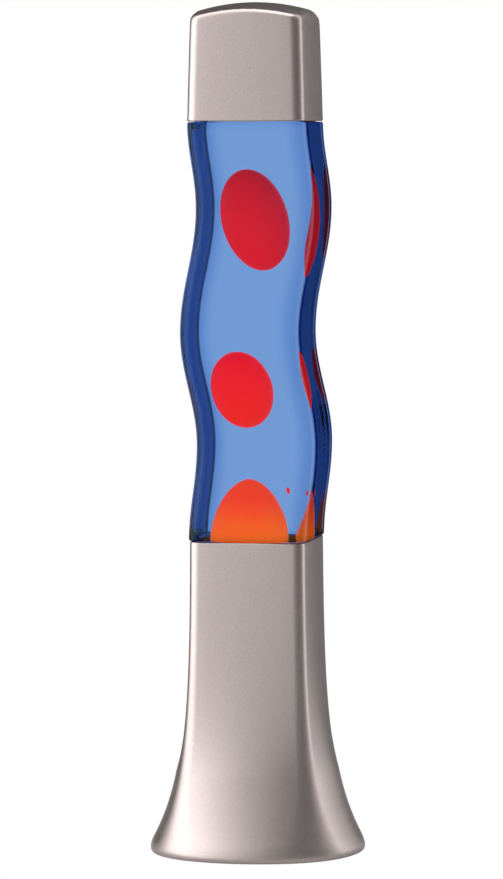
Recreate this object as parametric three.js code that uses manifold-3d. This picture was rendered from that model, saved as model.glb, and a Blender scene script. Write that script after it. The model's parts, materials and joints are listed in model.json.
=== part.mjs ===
// A tall lava lamp, in millimetres: +Z up, feet on z = 0, front face towards -Y.
// A flared base holds a reflector bulb under a wavy square glass bottle of liquid and wax,
// and a square cap hides the bottle's neck.

import * as THREE from "three";
import Module from "manifold-3d";

const wasm = await Module();
wasm.setup();

// ---- Driving dimensions -------------------------------------------------------------------

const CORNER_STEPS = 5; // segments in each rounded corner of a square section
const BASE_STEPS = 6; // segments in each corner of the base, which is rounder
const ROUND_SIDES = 24; // sides of large turned pieces
const SMALL_SIDES = 12; // sides of screws, wires and other small pieces
const GAP = 0.3; // free space between neighbouring pieces
const TAU = Math.PI * 2;

const BASE = {
  neckHalf: 28.7, // half width that the flare tends to, far above the floor
  flare: 27, // extra half width of the flare at the floor
  decay: 30, // height over which the flare dies away
  rimBottom: 0.3,
  rimWidest: 2.6,
  rimHalf: 52.0,
  rimInnerHalf: 48.0,
  top: 155.3,
  wall: 2.4,
  topCorner: 6,
  cornerGrowth: 40, // how much rounder the corners are at the rim than at the top
  cornerPower: 1.3,
};

const PLATE = { half: 47.6, bottom: 3.2, top: 5.6, vents: 6, vent: 3, ventCircle: 24 };
const FOOT = { circle: 40, radius: 6, chamfer: 0.7, stem: 2.0, stemHole: 2.2, stemTop: 7.0 };

// Every self-tapping screw of the base is alike, apart from its length.
const SCREW = { shank: 1.2, pilot: 1.35, clearance: 1.5, head: 3, headHeight: 1.6 };
const PLATE_SCREW = { x: 35.3, y: 16.5, length: 14, boss: 4, bossTop: 32 };

const BUSHING = {
  z: 12, // height of the cord's way out, in the middle of the back
  radius: 4.4,
  hole: 4.7,
  bore: 2.8,
  collar: 5.8,
  collarLength: 2,
  inner: 36.5,
  outer: 50.4,
};

const SEAT = { half: 26.2, corner: 4, bottom: 139.5, top: 142.0, hole: 21.5 };
const SEAT_SCREW = {
  place: 21.9,
  bottom: 128,
  head: 2.4,
  headHeight: 1.2,
  sink: 0.12, // free space round the countersunk head
  boss: 5,
  bossPlace: 22.6,
  bossHeight: 16,
};
const SHIELD = { inner: 22.0, wall: 0.6, bottom: 70, flange: 0.8, flangeHalf: 26.0 };

const BRACKET = { thickness: 1.5, width: 14, top: 40, legX: 18, flangeX: 29, screwX: 24, centreHole: 3.6 };
const BRACKET_SCREW_LENGTH = 7.5;
const NUT = { acrossCorners: 3.2, height: 2.2 };

const SOCKET = {
  radius: 14,
  chamfer: 1,
  bottom: 40,
  floor: 46,
  top: 66,
  bore: 8.0,
  screwX: 10.8,
  screwLength: 9,
};
const CENTRE_RIVET = { hole: 1.7, shank: 1.4, bottom: 35.5, head: 3.2, headHeight: 1 };
const SIDE_RIVET = { hole: 1.3, shank: 1.1, z: 50 };
const SIDE_TAB = { halfWidth: 3, thickness: 0.8, bottom: 44, top: 54, clearance: 0.1 };
const WIRE = 0.75; // radius of an insulated wire

const THREAD = { pitch: 2.822, amplitude: 0.23, sides: 18, stepsPerPitch: 4 };
const BULB_THREAD = { mean: 6.72, inner: 5.9, bottom: 50.2, top: 66 };
const SOCKET_THREAD = { mean: 7.04, outer: 7.7, bottom: 46, top: 65 };
const BULB_WALL = 0.8;
const LEAD = 0.35; // radius of a support wire in the bulb
const FILAMENT = 0.45; // radius of the coiled filament, taken as one round bar

const GLASS = {
  half: 29.5,
  corner: 7,
  innerHalf: 25.7,
  innerCorner: 7,
  edge: 0.6, // how far the column's ends are rounded in
  heelBottom: 142.0,
  heelHalf: 25.8,
  heelCorner: 8,
  heelInnerHalf: 21.8,
  heelInnerCorner: 6,
  heelInnerTop: 154.3,
  floor: 147.3,
  ledge: 155.6, // where the column overhangs its heel and rests over the base's edge
  waveInnerBottom: 158.3,
  waveInnerTop: 358.2,
  shoulder: 361.2,
  neckInner: 10.2,
  top: 392.5,
  waveLayers: 15,
  liquidLevel: 380,
};

// Sideways shift of the column at each crest, eased from one to the next.
const WAVE = [
  { z: 155, shift: 0 },
  { z: 203.1, shift: 4.2 },
  { z: 257.6, shift: -4.0 },
  { z: 319.3, shift: 4.2 },
  { z: 361.2, shift: 0 },
];

const CROWN = {
  flutes: 21,
  fluteDepth: 0.4,
  skin: 0.4,
  skirtBottom: 388,
  skirtRadius: 15.4,
  shoulderRadius: 14.3,
  top: 393.6,
};
const LINER = { radius: 13.4, bottom: 392.6, top: 393.5 };

const CAP = {
  bottom: 361.5,
  apex: 420,
  domeDiameter: 190,
  wall: 2.3,
  edge: 2.4, // radius of the rounded edge round the top
  edgeHalf: 27.85,
  corner: 6,
};

const WAX = {
  upper: { x: 1.4, z: 313.1, halfWidth: 17.0, halfHeight: 24.9, lean: 0.16 },
  middle: { x: -5.4, z: 229.4, halfWidth: 15.6, halfHeight: 18.8, lean: 0.126 },
  droplet: { x: 17.6, z: 179.8, halfWidth: 0.9, halfHeight: 1.6, lean: 0.2 },
  mound: { x: -1.8, top: 185.4, widest: 152, halfWidth: 19.9, floorHalfWidth: 18.2, power: 0.58 },
};
const EGG = { sides: 18, layers: 9 };
const DROPLET = { sides: 8, layers: 5 };
const DOME = { sides: 20, layers: 7 };
const COIL = { radius: 13, wire: 0.8, lift: 0.02, groove: 0.35 };
const PASSAGE = { radius: 0.6, sides: 6 }; // thin ways that join the hollows in the liquid

const SILVER = { color: 0xb3a8a4, roughness: 0.36, metalness: 0.9 };
const STEEL = { color: 0xb8bbbf, roughness: 0.3, metalness: 1 };
const BRASS = { color: 0xc9a24a, roughness: 0.35, metalness: 1 };
const ALUMINIUM = { color: 0xc9ccd0, roughness: 0.35, metalness: 1 };
const BLACK_PLASTIC = { color: 0x1b1b1d, roughness: 0.5, metalness: 0 };
const RUBBER = { color: 0x202022, roughness: 0.85, metalness: 0 };
const CERAMIC = { color: 0xe9e6df, roughness: 0.45, metalness: 0 };
const BLUE_GLASS = { color: 0x4f8fd6, roughness: 0.03, metalness: 0, transparent: true, opacity: 0.35 };
const CLEAR_GLASS = { color: 0xe6eef2, roughness: 0.05, metalness: 0, transparent: true, opacity: 0.3 };
const FROSTED_GLASS = { color: 0xe8e4da, roughness: 0.05, metalness: 0, transparent: true, opacity: 0.5 };
const BLUE_LIQUID = { color: 0x2f86d6, roughness: 0.05, metalness: 0, transparent: true, opacity: 0.45 };
const TUNGSTEN = { color: 0x6d6a66, roughness: 0.4, metalness: 1 };
const LINER_WHITE = { color: 0xd8d8d2, roughness: 0.6, metalness: 0 };
const BROWN_INSULATION = { ...RUBBER, color: 0x6b3a1e };
const BLUE_INSULATION = { ...RUBBER, color: 0x2f5f9e };
const wax = (color) => ({ color, roughness: 0.35, metalness: 0 });

// ---- Rings and lofts ----------------------------------------------------------------------

/** A ring of points about the Z axis, counter-clockwise from above. radiusAt(angle) or a number. */
function roundRing(radiusAt, z, sides, centreX = 0, centreY = 0) {
  return Array.from({ length: sides }, (_, i) => {
    const angle = (i / sides) * TAU;
    const radius = typeof radiusAt === "function" ? radiusAt(angle) : radiusAt;
    return new THREE.Vector3(centreX + radius * Math.cos(angle), centreY + radius * Math.sin(angle), z);
  });
}

/** A rounded square ring. heightAt is a number, or a function of x and y. */
function squareRing(half, corner, heightAt, shift = 0, steps = CORNER_STEPS) {
  const radius = Math.min(corner, half - 0.2);
  const inset = half - radius;
  const points = [];
  for (let quarter = 0; quarter < 4; quarter++) {
    const centreX = quarter === 0 || quarter === 3 ? inset : -inset;
    const centreY = quarter < 2 ? inset : -inset;
    for (let step = 0; step <= steps; step++) {
      const angle = ((quarter + step / steps) * Math.PI) / 2;
      const x = centreX + radius * Math.cos(angle);
      const y = centreY + radius * Math.sin(angle);
      const z = typeof heightAt === "function" ? heightAt(x, y) : heightAt;
      points.push(new THREE.Vector3(x + shift, y, z));
    }
  }
  return points;
}

function middleOf(ring) {
  return ring.reduce((sum, p) => sum.add(p), new THREE.Vector3()).divideScalar(ring.length);
}

/** Skins a stack of equal rings. A loop joins the last ring to the first; otherwise the ends are capped. */
function loft(rings, { loop = false, first, last } = {}) {
  const count = rings[0].length;
  const points = rings.flat();
  const faces = [];
  const spans = loop ? rings.length : rings.length - 1;
  for (let i = 0; i < spans; i++) {
    const low = i * count;
    const high = ((i + 1) % rings.length) * count;
    for (let j = 0; j < count; j++) {
      const next = (j + 1) % count;
      faces.push(low + j, low + next, high + next, low + j, high + next, high + j);
    }
  }
  if (!loop) {
    const lastRing = (rings.length - 1) * count;
    points.push(first ?? middleOf(rings[0]), last ?? middleOf(rings.at(-1)));
    for (let j = 0; j < count; j++) {
      const next = (j + 1) % count;
      faces.push(points.length - 2, next, j);
      faces.push(points.length - 1, lastRing + j, lastRing + next);
    }
  }
  const geometry = new THREE.BufferGeometry().setFromPoints(points);
  geometry.setIndex(faces);
  return geometry;
}

/** A turned piece from [radius, z] pairs: up the outside, and back down the inside if it is a loop. */
function turned(profile, { loop = false, sides = ROUND_SIDES, x = 0, y = 0 } = {}) {
  return loft(profile.map(([radius, z]) => roundRing(radius, z, sides, x, y)), { loop });
}

function rod(radius, bottom, top, x = 0, y = 0, sides = SMALL_SIDES) {
  return turned([[radius, bottom], [radius, top]], { sides, x, y });
}

/** A round bar that follows points. */
function bar(points, radius, { steps = 12, sides = 8, closed = false } = {}) {
  const curve = new THREE.CatmullRomCurve3(points.map((p) => new THREE.Vector3(...p)), closed);
  const frames = curve.computeFrenetFrames(steps, closed);
  const rings = Array.from({ length: closed ? steps : steps + 1 }, (_, i) =>
    Array.from({ length: sides }, (_, j) => {
      const angle = (j / sides) * TAU;
      const across = frames.normals[i].clone().multiplyScalar(radius * Math.cos(angle));
      const along = frames.binormals[i].clone().multiplyScalar(radius * Math.sin(angle));
      return curve.getPointAt(i / steps).add(across).add(along);
    }),
  );
  return loft(rings, { loop: closed });
}

/** A block between two corners. */
function block(low, high) {
  const [x0, y0, z0] = low;
  const [x1, y1, z1] = high;
  const ring = (z) => [[x1, y1], [x0, y1], [x0, y0], [x1, y0]].map(([x, y]) => new THREE.Vector3(x, y, z));
  return loft([ring(z0), ring(z1)]);
}

/** Lays a piece built along +Z so that its height runs along +Y, at the given x and z. */
function alongY(geometry, x, z) {
  return geometry.rotateX(-Math.PI / 2).translate(x, 0, z);
}

// ---- Solids -------------------------------------------------------------------------------

function toSolid(geometry) {
  const vertProperties = new Float32Array(geometry.getAttribute("position").array);
  const triVerts = new Uint32Array(geometry.getIndex().array);
  return new wasm.Manifold(new wasm.Mesh({ numProp: 3, vertProperties, triVerts }));
}

function toGeometry(solid) {
  const mesh = solid.getMesh();
  const geometry = new THREE.BufferGeometry();
  geometry.setAttribute("position", new THREE.BufferAttribute(new Float32Array(mesh.vertProperties), 3));
  geometry.setIndex(new THREE.BufferAttribute(new Uint32Array(mesh.triVerts), 1));
  return geometry;
}

function join(...pieces) {
  return toGeometry(pieces.map(toSolid).reduce((whole, piece) => whole.add(piece)));
}

function cut(piece, ...cutters) {
  return toGeometry(cutters.map(toSolid).reduce((rest, cutter) => rest.subtract(cutter), toSolid(piece)));
}

function common(a, b) {
  return toGeometry(toSolid(a).intersect(toSolid(b)));
}

function mesh(name, geometry, material) {
  const piece = new THREE.Mesh(geometry, new THREE.MeshStandardMaterial(material));
  piece.name = name;
  return piece;
}

// ---- Base ---------------------------------------------------------------------------------

function baseHalf(z) {
  return BASE.neckHalf + BASE.flare * Math.exp(-z / BASE.decay);
}

/** Corner radius of the base section whose half width is given. */
function baseCorner(half) {
  const narrowest = baseHalf(BASE.top);
  const share = Math.max(0, (half - narrowest) / (BASE.rimHalf - narrowest));
  return BASE.topCorner + BASE.cornerGrowth * share ** BASE.cornerPower;
}

const baseRing = (half, z) => squareRing(half, baseCorner(half), z, 0, BASE_STEPS);
const BASE_HEIGHTS = [7, 10, 14, 19, 25, 32, 41, 53, 70, 95, 125]; // closer where the flare curves more

function baseOutside() {
  return [
    baseRing(BASE.rimHalf - 1.4, BASE.rimBottom),
    baseRing(BASE.rimHalf - 0.4, BASE.rimBottom + 0.8),
    baseRing(BASE.rimHalf, BASE.rimWidest),
    ...BASE_HEIGHTS.map((z) => baseRing(baseHalf(z), z)),
    baseRing(baseHalf(BASE.top), BASE.top - 0.8),
    baseRing(baseHalf(BASE.top) - 0.5, BASE.top),
  ];
}

function baseInside() {
  const corner = (z) => baseCorner(baseHalf(z)) - BASE.wall;
  const inner = (z) => squareRing(baseHalf(z) - BASE.wall, corner(z), z, 0, BASE_STEPS);
  return [
    inner(BASE.top),
    ...BASE_HEIGHTS.slice(1).toReversed().map(inner),
    baseRing(BASE.rimInnerHalf, PLATE.top + 1),
    baseRing(BASE.rimInnerHalf, BASE.rimBottom),
  ];
}

const quadrants = (x, y) => [[x, y], [-x, y], [-x, -y], [x, -y]];
const plateScrewPlaces = () => quadrants(PLATE_SCREW.x, PLATE_SCREW.y);
const footPlaces = () => quadrants(FOOT.circle / Math.SQRT2, FOOT.circle / Math.SQRT2);
const seatScrewPlaces = () => [1, -1].map((side) => [side * SEAT_SCREW.place, side * SEAT_SCREW.place]);

/** A straight hole through, or into, a flat sheet that lies between two heights. */
const hole = (radius, bottom, top, x = 0, y = 0) => rod(radius, bottom - 1, top + 1, x, y);

/** The satin metal skirt, with bosses for the bottom plate's screws and ledges for the bottle's seat. */
function baseShell() {
  const { boss, bossTop, length } = PLATE_SCREW;
  const outside = loft(baseOutside());
  const shell = loft([...baseOutside(), ...baseInside()], { loop: true });
  const bosses = plateScrewPlaces().map(([x, y]) => rod(boss, PLATE.top, bossTop, x, y));
  const pilots = plateScrewPlaces().map(([x, y]) =>
    rod(SCREW.pilot, PLATE.top - 1, PLATE.top + length, x, y));
  const ledgeTop = SEAT.bottom - SHIELD.flange;
  const ledges = quadrants(SEAT_SCREW.bossPlace, SEAT_SCREW.bossPlace).map(([x, y]) =>
    rod(SEAT_SCREW.boss, SEAT.bottom - SEAT_SCREW.bossHeight, ledgeTop, x, y));
  const ledgePilots = seatScrewPlaces().map(([x, y]) =>
    hole(SCREW.pilot, SEAT_SCREW.bottom, ledgeTop, x, y));
  const cordHole = alongY(rod(BUSHING.hole, BASE.neckHalf, BASE.rimHalf + 1), 0, BUSHING.z);
  return cut(common(join(shell, ...bosses, ...ledges), outside), ...pilots, ...ledgePilots, cordHole);
}

function bottomPlate() {
  const { bottom, top, half, vent, vents, ventCircle } = PLATE;
  const plate = loft([bottom, top].map((z) => baseRing(half, z)));
  const screwHoles = plateScrewPlaces().map(([x, y]) => hole(SCREW.clearance, bottom, top, x, y));
  const footHoles = footPlaces().map(([x, y]) => hole(FOOT.stemHole, bottom, top, x, y));
  const bracketHoles = [-1, 1].map((side) => hole(SCREW.clearance, bottom, top, side * BRACKET.screwX));
  const airHoles = Array.from({ length: vents }, (_, i) => {
    const angle = ((i + 0.5) / vents) * TAU;
    return hole(vent, bottom, top, ventCircle * Math.cos(angle), ventCircle * Math.sin(angle));
  });
  return cut(plate, ...screwHoles, ...footHoles, ...bracketHoles, ...airHoles);
}

/** A pan head screw that points up, its head under z. */
function screw(x, y, z, length) {
  const { shank, head, headHeight } = SCREW;
  const profile = [
    [head * 0.6, z - headHeight],
    [head, z - headHeight / 2],
    [head, z],
    [shank, z],
    [shank, z + length],
  ];
  return turned(profile, { sides: SMALL_SIDES, x, y });
}

function rubberFoot(x, y) {
  const profile = [
    [FOOT.radius - FOOT.chamfer, 0],
    [FOOT.radius, FOOT.chamfer],
    [FOOT.radius, PLATE.bottom],
    [FOOT.stem, PLATE.bottom],
    [FOOT.stem, FOOT.stemTop],
  ];
  return turned(profile, { sides: 16, x, y });
}

function cordBushing() {
  const profile = [
    [BUSHING.collar, BUSHING.inner],
    [BUSHING.collar, BUSHING.inner + BUSHING.collarLength],
    [BUSHING.radius, BUSHING.inner + BUSHING.collarLength],
    [BUSHING.radius, BUSHING.outer],
    [BUSHING.bore, BUSHING.outer],
    [BUSHING.bore, BUSHING.inner],
  ];
  return alongY(turned(profile, { loop: true, sides: 16 }), 0, BUSHING.z);
}

/** The plate in the mouth of the base that the bottle stands on. */
function globeSeat() {
  const plate = loft([SEAT.bottom, SEAT.top].map((z) => squareRing(SEAT.half, SEAT.corner, z)));
  const mouth = rod(SEAT.hole, SEAT.bottom - 1, SEAT.top + 1, 0, 0, ROUND_SIDES);
  const sinks = seatScrewPlaces().map(([x, y]) => seatScrew(x, y, SEAT_SCREW.sink));
  return cut(plate, mouth, ...sinks);
}

/** A countersunk screw, flush with the seat; grow widens it into a cutter. */
function seatScrew(x, y, grow = 0) {
  const { head, headHeight, bottom } = SEAT_SCREW;
  const profile = [
    [SCREW.shank + grow, bottom],
    [SCREW.shank + grow, SEAT.top - headHeight],
    [head + grow, SEAT.top],
  ];
  if (grow > 0) {
    profile.push([head + grow, SEAT.top + 1]);
  }
  return turned(profile, { sides: SMALL_SIDES, x, y });
}

/** The bright sleeve round the bulb, hung by a square flange under the seat. */
function heatShield() {
  const { inner, wall, bottom, flangeHalf } = SHIELD;
  const top = SEAT.bottom;
  const flangeBottom = top - SHIELD.flange;
  const flange = loft([flangeBottom, top].map((z) => squareRing(flangeHalf, SEAT.corner, z)));
  const sleeve = rod(inner + wall, bottom, top, 0, 0, ROUND_SIDES);
  const bore = rod(inner, bottom - 1, top + 1, 0, 0, ROUND_SIDES);
  const screwHoles = seatScrewPlaces().map(([x, y]) => hole(SCREW.pilot, flangeBottom, top, x, y));
  return cut(join(flange, sleeve), bore, ...screwHoles);
}

// ---- Lamp holder --------------------------------------------------------------------------

/** A bent strap that bridges the bottom plate and carries the lamp holder. */
function socketBracket() {
  const { thickness, width, top, legX, flangeX } = BRACKET;
  const feet = [-1, 1].map((side) => {
    const [near, far] = side > 0 ? [legX, flangeX] : [-flangeX, -legX];
    return block([near, -width / 2, PLATE.top], [far, width / 2, PLATE.top + thickness]);
  });
  const legs = [-1, 1].map((side) => {
    const [near, far] = side > 0 ? [legX, legX + thickness] : [-legX - thickness, -legX];
    return block([near, -width / 2, PLATE.top], [far, width / 2, top]);
  });
  const under = top - thickness;
  const bridge = block([-legX - thickness, -width / 2, under], [legX + thickness, width / 2, top]);
  const screwHoles = [-1, 1].map((side) =>
    hole(SCREW.clearance, PLATE.top, PLATE.top + thickness, side * BRACKET.screwX));
  const socketHoles = [-1, 1].map((side) => hole(SCREW.clearance, under, top, side * SOCKET.screwX));
  const centreHole = hole(BRACKET.centreHole, under, top);
  return cut(join(...feet, ...legs, bridge), ...screwHoles, ...socketHoles, centreHole);
}

function hexNut(x, z) {
  const { acrossCorners, height } = NUT;
  const hex = (angle) => {
    const corner = Math.round(angle / (TAU / SMALL_SIDES)) % 2 === 0;
    return corner ? acrossCorners : acrossCorners * Math.cos(Math.PI / 6);
  };
  const rings = [
    roundRing(hex, z, SMALL_SIDES, x),
    roundRing(hex, z + height, SMALL_SIDES, x),
    roundRing(SCREW.clearance, z + height, SMALL_SIDES, x),
    roundRing(SCREW.clearance, z, SMALL_SIDES, x),
  ];
  return loft(rings, { loop: true });
}

function socketBody() {
  const { radius, chamfer, bottom, floor, top, bore, screwX, screwLength } = SOCKET;
  const body = turned([
    [radius - chamfer, bottom],
    [radius, bottom + chamfer],
    [radius, top - chamfer],
    [radius - chamfer, top],
  ]);
  const well = rod(bore, floor, top + 1, 0, 0, ROUND_SIDES);
  const rivetHole = hole(CENTRE_RIVET.hole, bottom, floor);
  const pilots = [-1, 1].map((side) => rod(SCREW.pilot, bottom - 1, bottom + screwLength, side * screwX));
  const sideHole = alongY(rod(SIDE_RIVET.hole, bore - 1, radius + 1), 0, SIDE_RIVET.z);
  return cut(body, well, rivetHole, ...pilots, sideHole);
}

/** Radius of a thread of the given mean radius, at an angle and height. */
function threadRadius(mean, angle, z) {
  return mean + THREAD.amplitude * Math.cos((z / THREAD.pitch) * TAU - angle);
}

function threadRings(mean, bottom, top) {
  const layers = Math.round(((top - bottom) / THREAD.pitch) * THREAD.stepsPerPitch);
  return Array.from({ length: layers + 1 }, (_, i) => {
    const z = bottom + ((top - bottom) * i) / layers;
    return roundRing((angle) => threadRadius(mean, angle, z), z, THREAD.sides);
  });
}

function bulbScrewShell() {
  const { mean, inner, bottom, top } = BULB_THREAD;
  const inside = [top, bottom].map((z) => roundRing(inner, z, THREAD.sides));
  return loft([...threadRings(mean, bottom, top), ...inside], { loop: true });
}

function socketScrewShell() {
  const { mean, outer, bottom, top } = SOCKET_THREAD;
  const outside = [bottom, top].map((z) => roundRing(outer, z, THREAD.sides));
  return loft([...outside, ...threadRings(mean, bottom, top).toReversed()], { loop: true });
}

/** The rivet that feeds the bulb's tip, and its eyelet under the bracket. */
function socketCentreContact() {
  const { shank, bottom, head, headHeight } = CENTRE_RIVET;
  const profile = [
    [shank, bottom],
    [shank, SOCKET.floor],
    [head, SOCKET.floor],
    [head, SOCKET.floor + headHeight * 0.6],
    [head - headHeight * 0.8, SOCKET.floor + headHeight],
  ];
  return turned(profile, { sides: SMALL_SIDES });
}

function socketSideTerminal() {
  const { halfWidth, thickness, bottom, top, clearance } = SIDE_TAB;
  const near = SOCKET.radius + clearance;
  const tab = block([-halfWidth, near, bottom], [halfWidth, near + thickness, top]);
  const rivet = rod(SIDE_RIVET.shank, SOCKET_THREAD.outer + GAP, near + thickness / 2);
  return join(tab, alongY(rivet, 0, SIDE_RIVET.z));
}

// ---- Bulb ---------------------------------------------------------------------------------

// The reflector bulb's outline, [radius, z] from its neck to its crown.
const BULB_SIDES = [[5.6, 58], [5.6, 66.4], [7.6, 69.5], [11.0, 76], [15.4, 85], [18.6, 93], [19.5, 99]];
const BULB_CROWN = [[19.0, 103.5], [16.6, 108], [11.6, 111.8], [5.8, 113.6]];

/** The reflector bulb's envelope, open at the neck. */
function bulbGlass() {
  const outside = [...BULB_SIDES, ...BULB_CROWN];
  const inside = [
    ...BULB_SIDES.map(([radius, z]) => [radius - BULB_WALL, z]),
    ...BULB_CROWN.map(([radius, z]) => [radius - BULB_WALL, z - BULB_WALL]),
  ];
  return loft([...inside.toReversed(), ...outside].map(([radius, z]) => roundRing(radius, z, ROUND_SIDES)));
}

function bulbInsulator() {
  return turned([[2.6, 48.05], [5.6, 49.4], [5.8, 50.1]], { sides: THREAD.sides });
}

function bulbContact() {
  return turned([[1.6, 47], [2.4, 47.35], [2.4, 48]], { sides: SMALL_SIDES });
}

function bulbStem() {
  return turned([[4.4, 58], [4.4, 59.6], [2.3, 62], [2.0, 74], [1.0, 80]], { sides: SMALL_SIDES });
}

function bulbLead(side) {
  const route = [[3.2, 62.4], [3.2, 72], [5, 84], [6.5, 91.4]].map(([x, z]) => [side * x, 0, z]);
  return bar(route, LEAD, { sides: 6 });
}

function filament() {
  const route = [[-7, 92.2], [-3.5, 93.6], [0, 94.2], [3.5, 93.6], [7, 92.2]].map(([x, z]) => [x, 0, z]);
  return bar(route, FILAMENT, { sides: 6 });
}

// ---- Bottle -------------------------------------------------------------------------------

/** Sideways shift of the column at a height. */
function waveShift(z) {
  const next = WAVE.findIndex((crest) => crest.z > z);
  if (next <= 0) {
    return 0;
  }
  const low = WAVE[next - 1];
  const high = WAVE[next];
  const ease = (1 - Math.cos(((z - low.z) / (high.z - low.z)) * Math.PI)) / 2;
  return low.shift + (high.shift - low.shift) * ease;
}

const columnRing = (half, corner, z) => squareRing(half, corner, z, waveShift(z));

/** Heights of the rings that follow the wave, evenly spaced. */
function waveHeights(bottom, top) {
  const layer = (top - bottom) / GLASS.waveLayers;
  return Array.from({ length: GLASS.waveLayers + 1 }, (_, i) => bottom + layer * i);
}

// The bottle's square shoulder and round neck, as [half width, corner radius, z].
const NECK_OUTSIDE = [
  [26.3, 7, 361.2],
  [26.3, 7, 365.5],
  [24.6, 9, 369.5],
  [20.2, 11, 373],
  [15.6, 12, 375.8],
  [13, 13, 379],
  [12.8, 13, 388],
  [13.9, 14, 389],
  [13.9, 14, 391.2],
  [13.0, 13, 392.5],
];
const NECK_INSIDE = [
  [24.8, 7, 360.8],
  [22.8, 7.2, 363.5],
  [22.2, 7.5, 366.5],
  [20.4, 8.2, 369.8],
  [16.4, 9, 372.8],
  [12.2, 10.5, 375.4],
  [10.2, 10.5, 378.4],
];

function bottleOutside() {
  const { half, corner, edge, heelBottom, heelHalf, heelCorner, ledge, shoulder } = GLASS;
  const sections = [
    [heelHalf - edge * 2, heelCorner - 1, heelBottom],
    [heelHalf, heelCorner, heelBottom + edge * 2],
    [heelHalf, heelCorner, ledge],
    [half - edge, corner, ledge],
    ...waveHeights(ledge + edge, shoulder - edge).map((z) => [half, corner, z]),
    [half - edge, corner, shoulder],
    ...NECK_OUTSIDE,
  ];
  return sections.map((section) => columnRing(...section));
}

/** The bottle's inner surface from the floor up to a height, moved inwards by a gap. */
function bottleInside(gap = 0, level = GLASS.top) {
  const { innerHalf, innerCorner, heelInnerHalf, heelInnerCorner, floor, neckInner } = GLASS;
  const sections = [
    [heelInnerHalf - 1.6, heelInnerCorner, floor],
    [heelInnerHalf, heelInnerCorner, floor + 1.8],
    [heelInnerHalf, heelInnerCorner, GLASS.heelInnerTop],
    ...waveHeights(GLASS.waveInnerBottom, GLASS.waveInnerTop).map((z) => [innerHalf, innerCorner, z]),
    ...NECK_INSIDE,
    [neckInner, neckInner + GAP, level],
  ];
  return sections.map(([half, corner, z]) => columnRing(half - gap, corner - gap, z));
}

function glassGlobe() {
  return loft([...bottleOutside(), ...bottleInside().toReversed()]);
}

/** A leaning egg of wax; grow enlarges it into the hollow that it floats in. */
function waxEgg({ x, z, halfWidth, halfHeight, lean }, { sides, layers } = EGG, grow = 0) {
  const rings = Array.from({ length: layers }, (_, i) => {
    const angle = ((i + 1) / (layers + 1) - 0.5) * Math.PI;
    const rise = (halfHeight + grow) * Math.sin(angle);
    return roundRing((halfWidth + grow) * Math.cos(angle), z + rise, sides, x - lean * rise);
  });
  const pole = (end) => new THREE.Vector3(x - lean * end, 0, z + end);
  return loft(rings, { first: pole(-halfHeight - grow), last: pole(halfHeight + grow) });
}

/** The dome of molten wax on the bottle's floor, carried down to a given bottom. */
function waxDome(bottom, grow = 0) {
  const { x, top, widest, halfWidth, floorHalfWidth, power } = WAX.mound;
  const rings = [roundRing(floorHalfWidth + grow, bottom, DOME.sides, x)];
  for (let i = 0; i < DOME.layers; i++) {
    const share = Math.sin(((i / DOME.layers) * Math.PI) / 2);
    const radius = (halfWidth + grow) * (1 - share ** 2) ** power;
    rings.push(roundRing(radius, widest + (top + grow - widest) * share, DOME.sides, x));
  }
  return loft(rings, { last: new THREE.Vector3(x, 0, top + grow) });
}

/** The wire ring on the bottle's floor; grow widens it into the groove that it leaves in the wax. */
function coilRing(grow = 0) {
  const { radius, wire, lift } = COIL;
  const points = Array.from({ length: 8 }, (_, i) => {
    const angle = (i / 8) * TAU;
    return [WAX.mound.x + radius * Math.cos(angle), radius * Math.sin(angle), GLASS.floor + wire + lift];
  });
  return bar(points, wire + grow, { steps: 20, sides: 8, closed: true });
}

function waxMound() {
  return cut(waxDome(GLASS.floor), coilRing(COIL.groove));
}

/** The tinted liquid, with hollows where the wax is; thin passages join them and open at the floor. */
function liquid() {
  const { upper, middle, droplet, mound } = WAX;
  const body = loft(bottleInside(GAP, GLASS.liquidLevel));
  const eggs = [upper, middle].map((egg) => waxEgg(egg, EGG, GAP));
  const bead = waxEgg(droplet, DROPLET, GAP);
  const passage = (x, bottom, top) => rod(PASSAGE.radius, bottom, top, x, 0, PASSAGE.sides);
  const passages = [
    passage(mound.x, mound.top - 5, upper.z),
    passage(droplet.x, GLASS.floor + 4, droplet.z),
  ];
  return cut(body, ...eggs, bead, waxDome(GLASS.floor - 1, GAP), ...passages);
}

/** The pressed metal closure with its fluted skirt. */
function crownCap() {
  const { flutes, fluteDepth, skin, skirtBottom, skirtRadius, shoulderRadius, top } = CROWN;
  const sides = flutes * 2;
  const fluted = (mean) => (angle) => mean + fluteDepth * Math.cos(angle * flutes);
  const rings = [
    roundRing(LINER.radius / 2, top, sides),
    roundRing(shoulderRadius, top, sides),
    roundRing(fluted(skirtRadius), skirtBottom, sides),
    roundRing(fluted(skirtRadius + skin), skirtBottom, sides),
    roundRing(shoulderRadius + skin, top, sides),
    roundRing(shoulderRadius - skin, top + skin, sides),
  ];
  return loft(rings);
}

function crownLiner() {
  return turned([[LINER.radius, LINER.bottom], [LINER.radius, LINER.top]]);
}

// ---- Cap ----------------------------------------------------------------------------------

// The cap's rolled lower edge and its drafted sides.
const CAP_ROLL = [
  { z: CAP.bottom, half: 28.7 },
  { z: 362.2, half: 29.35 },
];
const CAP_SIDES = [
  { z: 364, half: 29.2 },
  { z: 376, half: 28.95 },
  { z: 390, half: 28.55 },
  { z: 402, half: 28.25 },
];

/** Height of the cap's domed top above x, y, lowered by a drop. */
const domeAt = (drop) => (x, y) => CAP.apex - drop - (x * x + y * y) / CAP.domeDiameter;
const domeRing = (half, drop) => squareRing(half, half * 0.3, domeAt(drop));

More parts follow.
